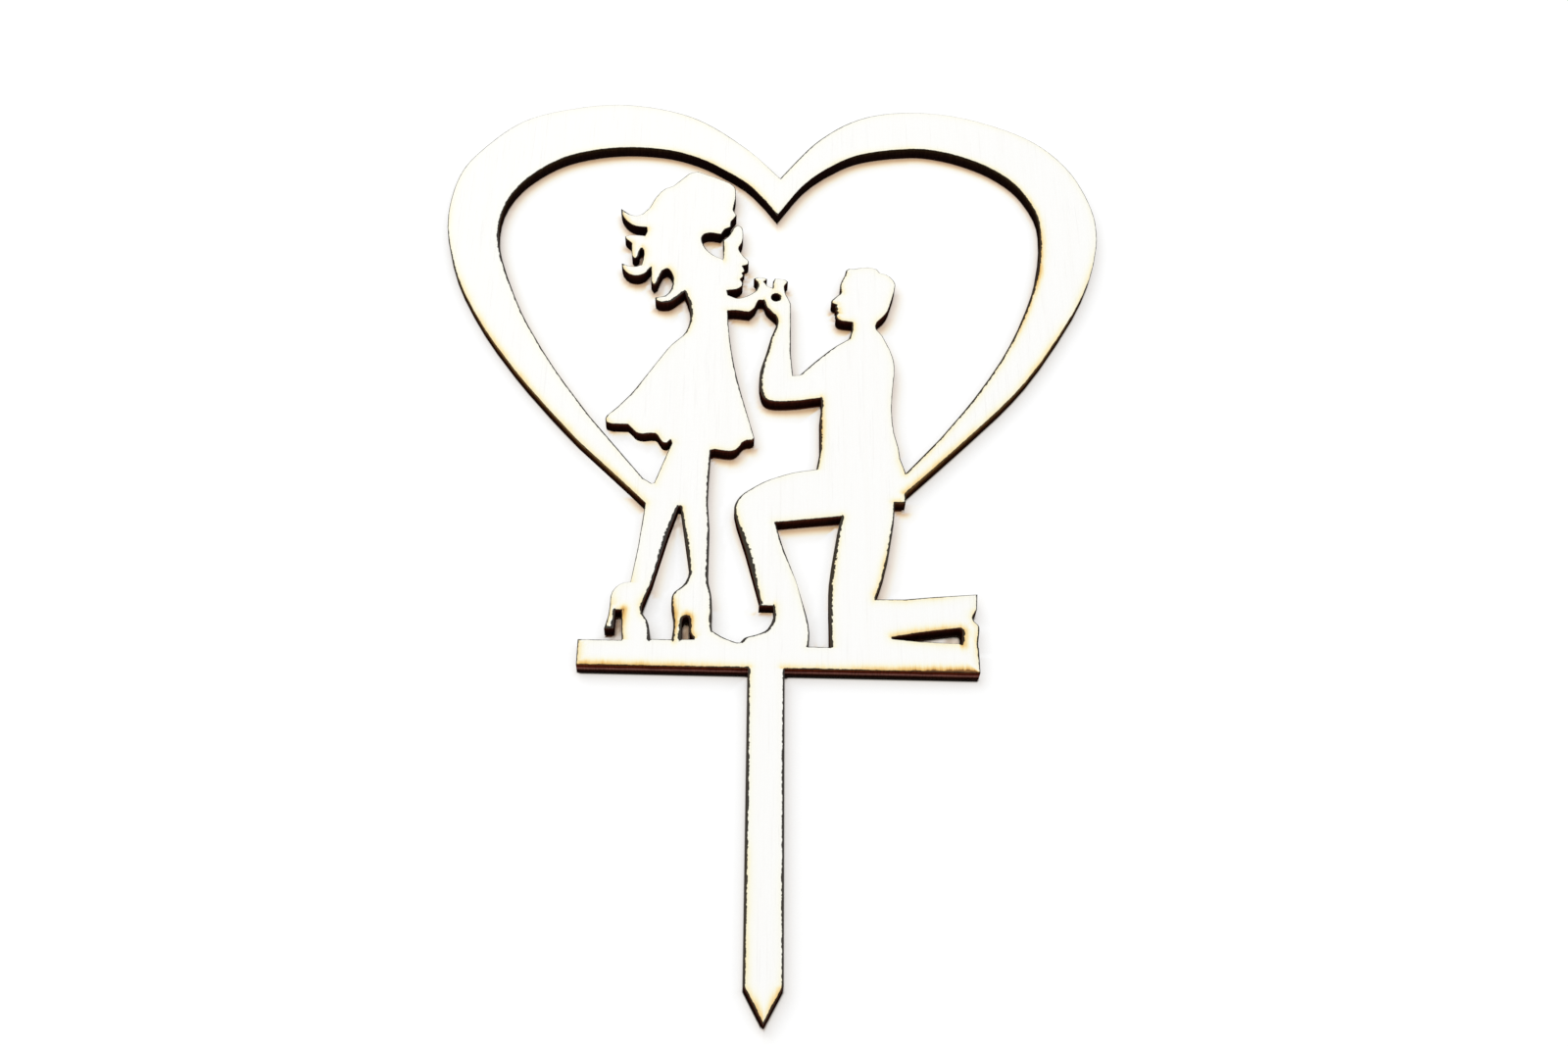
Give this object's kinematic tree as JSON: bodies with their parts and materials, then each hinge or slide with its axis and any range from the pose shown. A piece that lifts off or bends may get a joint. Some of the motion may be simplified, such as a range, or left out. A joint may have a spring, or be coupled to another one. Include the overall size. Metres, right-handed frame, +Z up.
{
  "type": "heart cake topper",
  "caption": "Flat laser-cut plywood cake topper: a proposing couple on a bar inside a heart-shaped band, with a pointed stake below the bar.",
  "frame": {"origin": "on the stake's centre line, at mid thickness, in the plane of the bar's underside, where the cake's top comes to", "axes": "+X to the right as the front face is seen, +Y from the front face to the back face, +Z up, away from the stake's point"},
  "size_m": [0.1507, 0.003, 0.2216],
  "materials": {
    "face_veneer": "bare pale veneer, charred brown on the cut edges",
    "core_veneer": "bare, charred reddish brown on the cut edges",
    "glue": "set glue line, burnt dark"
  },
  "bodies": {
    "root": {"front_face_veneer": "face_veneer", "front_glue_film": "glue", "core_veneer": "core_veneer", "back_glue_film": "glue", "back_face_veneer": "face_veneer"}
  },
  "joints": []
}
